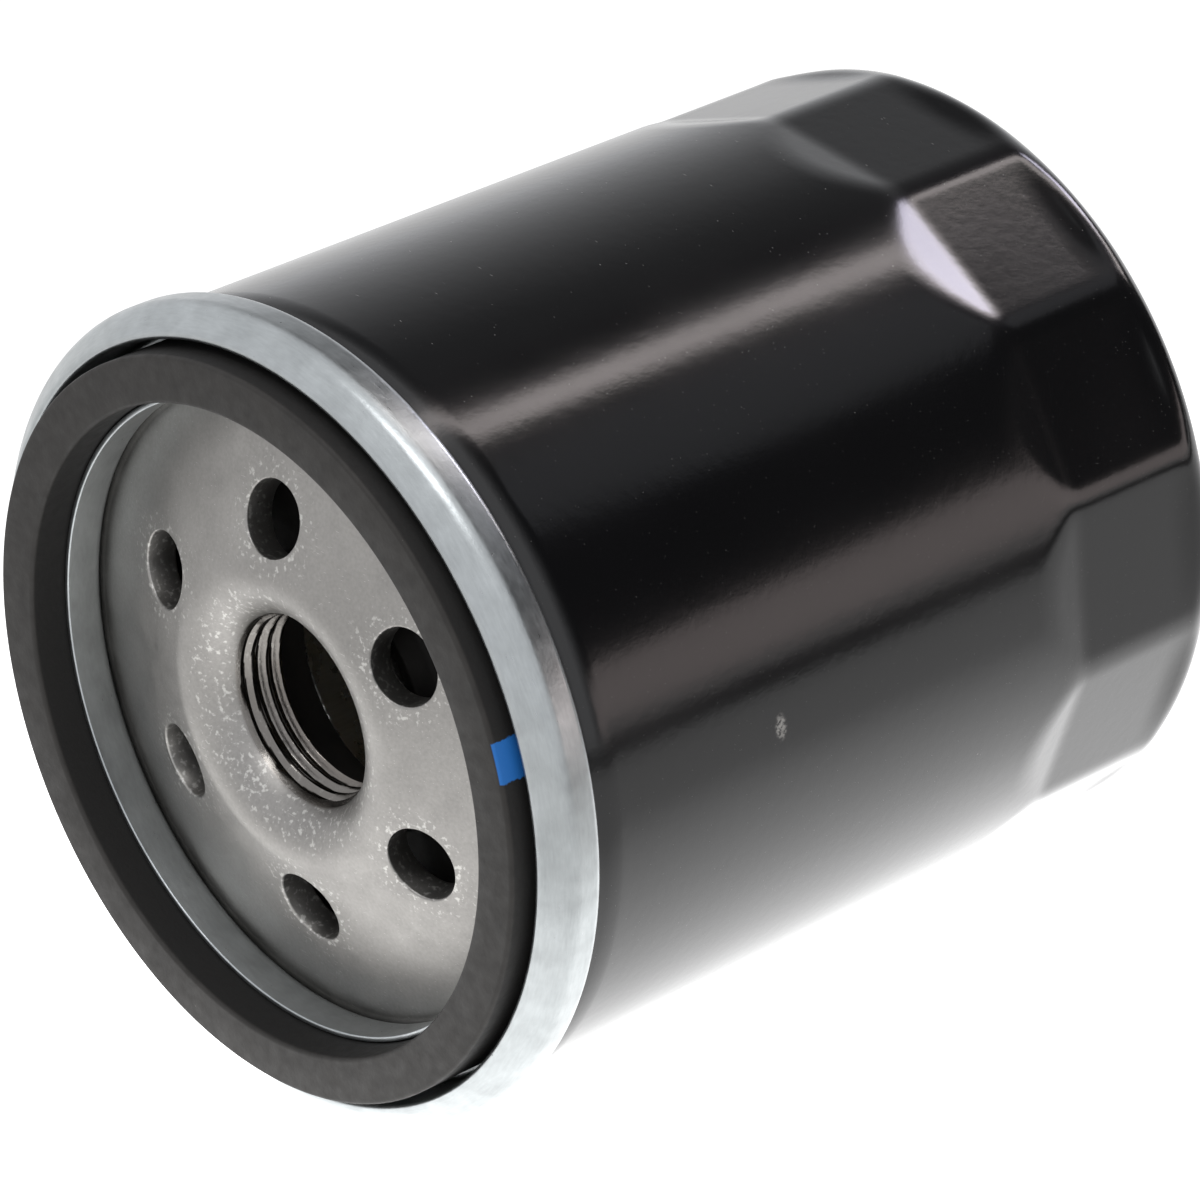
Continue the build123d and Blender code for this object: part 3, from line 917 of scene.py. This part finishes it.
    def rim_rows(self, size, outer):
        """Rows up the cone, through its bend and out along the rim."""
        corner = size.neck + (size.rim_front - self.crest) / math.tan(size.slope)
        reach = size.bend * math.tan(size.slope / 2)
        rows = [(corner - reach, self.front(size, corner - reach))]
        for i in range(1, self.BEND_STEPS + 1):
            lean = size.slope * (1 - i / self.BEND_STEPS)
            radius = corner + reach - size.bend * math.sin(lean)
            rows.append((radius, size.rim_front - size.bend * (1 - math.cos(lean))))
        rows += [(self.RIM_ROW, size.rim_front), (size.radius, size.rim_front)]
        return [row for row in rows if row[0] > outer + 0.1]

    def ease_inlets(self, bm, size):
        """Rounds the inlets' edges, as piercing draws them down."""
        rims = [
            edge for edge in bm.edges
            if edge.calc_face_angle(0) > SHARP
            and all(size.ring - 4.5 < math.hypot(v.co.x, v.co.z) < size.ring + 4.5
                    for v in edge.verts)
        ]
        bmesh.ops.bevel(
            bm, geom=rims, offset=size.inlet_edge, offset_type="OFFSET", segments=3,
            profile=0.5, affect="EDGES", material=-1,
        )

    def cut_thread(self, bm, size):
        """Cuts the thread's turns into the neck, where the mouth doesn't stand clear of them."""
        depth = size.thread_root - size.neck
        for vertex in bm.verts:
            x, along, z = vertex.co
            radius = math.hypot(x, z)
            if radius > size.thread_root + 0.2 or along > size.neck_end + 0.01:
                continue
            turn_share = math.atan2(z, x) / FULL_TURN
            phase = (along / size.pitch - turn_share) % 1
            flank = 1 - abs(2 * phase - 1)
            cut = size.neck + depth * soft_step((flank - self.CREST) / self.FLANKS)
            if cut > radius:
                vertex.co.x *= cut / radius
                vertex.co.z *= cut / radius

    def mark_edges(self, bm, size, near):
        """Notes how near each point is to an inlet's edge or to the mouth, for its wear."""
        share = FULL_TURN / size.inlets
        for vertex in bm.verts:
            x, along, z = vertex.co
            radius = math.hypot(x, z)
            off = (math.atan2(z, x) - size.first_inlet + share / 2) % share - share / 2
            away = math.hypot(radius - size.ring, radius * math.sin(off)) - size.inlet
            from_mouth = max(abs(radius - size.neck - 2.0) - 1.0, 0) + 0.6
            vertex[near] = soft_step(1 - min(away, from_mouth) / self.WEAR)


class FILTER_OT_diaphragm(bpy.types.Operator):
    """Mould the anti-drain-back diaphragm, from its collar out to its lip"""

    bl_idname = "oil_filter.diaphragm"
    bl_label = "Diaphragm"

    # The section's corners, as (radius, along the axis), and the bend at each.
    CORNERS = (
        (11.8, 1.0), (13.0, 1.0), (13.8, 3.4), (26.0, 1.3), (27.2, 1.62), (27.2, 2.56),
        (26.0, 2.5), (13.8, 4.95), (13.8, 8.0), (11.8, 8.0),
    )
    BENDS = (0.2, 0.3, 0.8, 1.0, 0.3, 0.3, 1.0, 0.8, 0.4, 0.4)
    STEPS = 128

    def execute(self, context):
        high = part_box("anti_drain_back_valve")[1]
        points = [(min(radius, high.x / MM), along) for radius, along in self.CORNERS]
        bm = section(points, self.BENDS, 4, closed=True)
        turn(bm, self.STEPS)
        material = nitrile_rubber("diaphragm_rubber", context.scene.filter_colours)
        piece = finished(
            "diaphragm", bm, material, ["anti_drain_back_valve"]
        )
        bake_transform(piece)
        return {"FINISHED"}


class FILTER_OT_springs(bpy.types.Operator):
    """Wind the two springs"""

    bl_idname = "oil_filter.springs"
    bl_label = "Springs"

    WIRE_SIDES = 12
    DEAD_TURNS = 0.75
    # The rise of a dead turn, in wire radii: the coils all but touch.
    DEAD_RISE = 2.02

    def execute(self, context):
        size = in_mm(context.scene.filter_inner)
        wire = spring_wire(context.scene.filter_colours)
        low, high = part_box("element_spring")
        start = low.y / MM + size.coil_wire
        end = high.y / MM - size.coil_wire
        bm = self.wound(size.coil, size.coil_wire, start, end, size.coil_turns, size.coil_steps)
        finished("support_spring", bm, wire, ["element_spring"], "housing")
        low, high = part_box("bypass_spring")
        start = low.y / MM + size.valve_wire
        end = high.y / MM - size.valve_wire
        bm = self.wound(
            size.valve_coil, size.valve_wire, start, end, size.valve_turns, size.coil_steps
        )
        piece = finished("relief_spring", bm, wire, ["bypass_spring"], "housing")
        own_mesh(piece)
        return {"FINISHED"}

    def wound(self, radius, wire, start, end, turns, steps):
        """A compression spring: working turns between a dead coil at each end."""
        bm = bmesh.new()
        bmesh.ops.create_circle(bm, radius=wire, segments=self.WIRE_SIDES)
        bmesh.ops.translate(bm, vec=(radius, start, 0), verts=bm.verts)
        dead_rise = self.DEAD_TURNS * self.DEAD_RISE * wire
        ring = bm.verts[:] + bm.edges[:]
        for share, rise in (
            (self.DEAD_TURNS, dead_rise),
            (turns, end - start - 2 * dead_rise),
            (self.DEAD_TURNS, dead_rise),
        ):
            count_steps = round(share * steps)
            made = bmesh.ops.spin(
                bm, geom=ring, cent=(0, 0, 0), axis=AXIS, angle=share * FULL_TURN,
                dvec=(0, rise / count_steps, 0), steps=count_steps,
            )
            ring = made["geom_last"]
        ends = [edge for edge in bm.edges if edge.is_boundary]
        bmesh.ops.holes_fill(bm, edges=ends, sides=self.WIRE_SIDES)
        bmesh.ops.recalc_face_normals(bm, faces=bm.faces)
        return bm


class FILTER_OT_seal(bpy.types.Operator):
    """Mould the bypass valve's rubber seal"""

    bl_idname = "oil_filter.seal"
    bl_label = "Bypass seal"

    BORE = 2.0
    EDGES = (0.15, 0.35, 0.35, 0.15)
    STEPS = 72

    def execute(self, context):
        low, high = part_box("bypass_seal")
        outer, front, back = high.x / MM, low.y / MM, high.y / MM
        points = [(self.BORE, front), (outer, front), (outer, back), (self.BORE, back)]
        bm = section(points, self.EDGES, 4, closed=True)
        turn(bm, self.STEPS)
        material = nitrile_rubber("seal_rubber", context.scene.filter_colours)
        finished("valve_seal", bm, material, ["bypass_seal"], "bypass_valve")
        return {"FINISHED"}


class FILTER_OT_inner_finishes(bpy.types.Operator):
    """Give the sheet, paper and adhesive pieces inside their finishes"""

    bl_idname = "oil_filter.inner_finishes"
    bl_label = "Inner finishes"

    def execute(self, context):
        colours = context.scene.filter_colours
        tin, wire = tinplate(colours), spring_wire(colours)
        paste = cured_paste("cured_plastisol", colours.plastisol)
        finishes = {
            tin: [
                "front_end_cap", "rear_end_cap", "centre_tube", "pleat_seam_clip",
                "bypass_seat", "bypass_cage", "bypass_disc",
            ],
            wire: ["bypass_pin"],
            paste: ["front_adhesive", "rear_adhesive"],
            cured_paste("seam_compound", colours.compound): ["seam_compound"],
            filter_paper(colours): ["pleated_paper"],
        }
        for material, nodes in finishes.items():
            for node in nodes:
                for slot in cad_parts[node].material_slots:
                    slot.material = material
        return {"FINISHED"}


class FILTER_OT_stage(bpy.types.Operator):
    """Set the floor, the studio lights and the camera"""

    bl_idname = "oil_filter.stage"
    bl_label = "Stage"

    # Name, (bearing, elevation), distance, (width, height), brightness and colour.
    LAMPS = (
        # Strip over the can's back: the narrow highlight that runs its whole length.
        ("back_strip", (2.5, 53), 0.9, (0.095, 1.4), 5.6, "#FFF6F4"),
        # Panel above, a little in front: the bright line on the seam's crease.
        ("top_panel", (160, 64), 0.9, (0.5, 0.2), 6.0, "#FFFFFF"),
        # Dim panel beside the strip: the faint sheen to its right.
        ("high_panel", (29, 47), 1.0, (0.3, 0.3), 0.4, "#F6F8FF"),
        # Low dim panel behind to the right: the broad warm glow low on the wall.
        ("low_panel", (53, 7), 1.2, (0.9, 0.28), 1.7, "#FFF0EE"),
        # Small bright lamp behind: the pale gleam on one flat's ramp and on the shoulder.
        ("gleam_lamp", (-4, 33), 1.2, (0.2, 0.3), 11.0, "#EFEAFF"),
    )
    BAR_LONG, BAR_TALL, BAR_AWAY, BAR_BEARING = 0.8, 0.032, 0.37, math.radians(53)
    # Straight on to the middle of the filter's length.
    AIM = Vector((0, 0.035, 0))
    # How bright the room is: in front, at the left low down and high up, and behind.
    IN_FRONT, LEFT_LOW, LEFT_HIGH, BEHIND = 1.15, 1.18, 0.1, 0.06

    def execute(self, context):
        settings = context.scene.filter_studio
        self.lay_floor(context, settings)
        for lamp in self.LAMPS:
            self.light(context, *lamp)
        self.stand_bar(context)
        self.paint_room(context)
        self.place_camera(context, settings)
        context.scene.view_settings.view_transform = "Standard"
        return {"FINISHED"}

    def lay_floor(self, context, settings):
        """A wide white disc, just under the seam that the filter lies on."""
        bm = bmesh.new()
        bmesh.ops.create_circle(
            bm, cap_ends=True, radius=settings.floor_radius, segments=96
        )
        bmesh.ops.translate(bm, vec=(0, 0, CAD_BOX[0][2]), verts=bm.verts)
        mesh = bpy.data.meshes.new("floor")
        bm.to_mesh(mesh)
        bm.free()
        mesh.materials.append(studio_floor(context.scene.filter_colours))
        floor = bpy.data.objects.new("floor", mesh)
        context.scene.collection.objects.link(floor)

    def light(self, context, name, way, distance, size, brightness, code):
        """A panel that faces the filter from a bearing off +Y and an elevation, in degrees."""
        bearing, lift = (math.radians(degrees) for degrees in way)
        out = Vector((
            math.sin(bearing) * math.cos(lift), math.cos(bearing) * math.cos(lift), math.sin(lift)
        ))
        lamp = bpy.data.lights.new(name, "AREA")
        lamp.shape = "RECTANGLE"
        lamp.size, lamp.size_y = size
        lamp.color = linear(code)[:3]
        lamp.energy = brightness * math.pi * size[0] * size[1]
        panel = bpy.data.objects.new(name, lamp)
        context.scene.collection.objects.link(panel)
        panel.location = self.AIM + out * distance
        panel.rotation_euler = out.to_track_quat("Z", "Y").to_euler()

    def stand_bar(self, context):
        """A low black bar behind to the right, seen only in reflections: it parts the warm
        glow from the floor's white with a dark line."""
        bm = bmesh.new()
        bmesh.ops.create_grid(bm, x_segments=1, y_segments=1, size=0.5)
        bmesh.ops.scale(bm, vec=(self.BAR_LONG, self.BAR_TALL, 1), verts=bm.verts)
        bmesh.ops.rotate(
            bm, cent=(0, 0, 0), matrix=Matrix.Rotation(math.pi / 2, 3, "X"), verts=bm.verts
        )
        middle = (0, self.BAR_AWAY, CAD_BOX[0][2] + self.BAR_TALL / 2)
        bmesh.ops.translate(bm, vec=middle, verts=bm.verts)
        bmesh.ops.rotate(
            bm, cent=(0, 0, 0), matrix=Matrix.Rotation(-self.BAR_BEARING, 3, "Z"), verts=bm.verts
        )
        mesh = bpy.data.meshes.new("dark_bar")
        bm.to_mesh(mesh)
        bm.free()
        mesh.materials.append(black_card())
        bar = bpy.data.objects.new("dark_bar", mesh)
        context.scene.collection.objects.link(bar)
        bar.visible_camera = False

    def paint_room(self, context):
        """A room that is bright in front, grey at the left and dark behind the filter, as the
        filter mirrors it. Its walls look white."""
        world = bpy.data.worlds.new("room")
        context.scene.world = world
        world.use_nodes = True
        put = partial(add, world.node_tree)
        way = put("SeparateXYZ", [put("TexCoord", out="Generated")]).node.outputs
        front = put("MapRange", [way["Y"], 0.40, 0.08], **EASED)
        left = put("MapRange", [way["X"], -0.14, -0.30], **EASED)
        falls = put("MapRange", [way["Z"], 0.02, 0.70, self.LEFT_LOW, self.LEFT_HIGH])
        left = put("Math", [left, falls], **TIMES)
        behind = put("MapRange", [left, 0.0, 1.0, self.BEHIND, self.BEHIND + 1], clamp=False)
        lit = put("Mix", {0: front, 2: behind, 3: self.IN_FRONT})
        lit = put("Mix", {0: put("LightPath", out="Is Camera Ray"), 2: lit, 3: 1.0})
        backdrop = world.node_tree.nodes["Background"]
        fill(backdrop, {"Color": linear("#FBFCFF"), "Strength": lit})

    def place_camera(self, context, settings):
        """The camera, with no shift and no depth of field."""
        data = bpy.data.cameras.new("camera")
        data.lens = settings.lens
        data.clip_start, data.clip_end = 0.01, 20.0
        camera = bpy.data.objects.new("camera", data)
        context.scene.collection.objects.link(camera)
        turned, raised = settings.azimuth, settings.elevation
        back = Vector((
            math.sin(turned) * math.cos(raised), -math.cos(turned) * math.cos(raised),
            math.sin(raised),
        ))
        right = Vector((math.cos(turned), math.sin(turned), 0))
        place = Matrix((right, back.cross(right), back)).transposed().to_4x4()
        place.translation = settings.camera
        camera.matrix_world = place
        context.scene.camera = camera


class FILTER_PT_panel(bpy.types.Panel):
    """The filter's pieces and sizes"""

    bl_idname = "FILTER_PT_panel"
    bl_label = "Oil filter"
    bl_space_type = "VIEW_3D"
    bl_region_type = "UI"
    bl_category = "Oil filter"

    def draw(self, context):
        for operator in OPERATORS:
            self.layout.operator(operator.bl_idname)
        for attribute, group in GROUPS.items():
            box = self.layout.box()
            box.label(text=group.__doc__)
            for name in group.__annotations__:
                box.prop(getattr(context.scene, attribute), name)


GROUPS = {
    "filter_can": CanSizes,
    "filter_seam": SeamSizes,
    "filter_gasket": GasketSizes,
    "filter_plate": PlateSizes,
    "filter_inner": InnerSizes,
    "filter_colours": FinishColours,
    "filter_studio": StudioSettings,
}
OPERATORS = [
    FILTER_OT_can,
    FILTER_OT_seam,
    FILTER_OT_gasket,
    FILTER_OT_plate,
    FILTER_OT_diaphragm,
    FILTER_OT_springs,
    FILTER_OT_seal,
    FILTER_OT_inner_finishes,
    FILTER_OT_stage,
]


def register():
    for made in [*GROUPS.values(), *OPERATORS, FILTER_PT_panel]:
        bpy.utils.register_class(made)
    for attribute, group in GROUPS.items():
        setattr(bpy.types.Scene, attribute, bpy.props.PointerProperty(type=group))


def unregister():
    for attribute in GROUPS:
        delattr(bpy.types.Scene, attribute)
    for made in [FILTER_PT_panel, *reversed(OPERATORS), *GROUPS.values()]:
        bpy.utils.unregister_class(made)


def main():
    register()
    for operator in OPERATORS:
        family, name = operator.bl_idname.split(".")
        getattr(getattr(bpy.ops, family), name)()


if __name__ == "__main__":
    main()
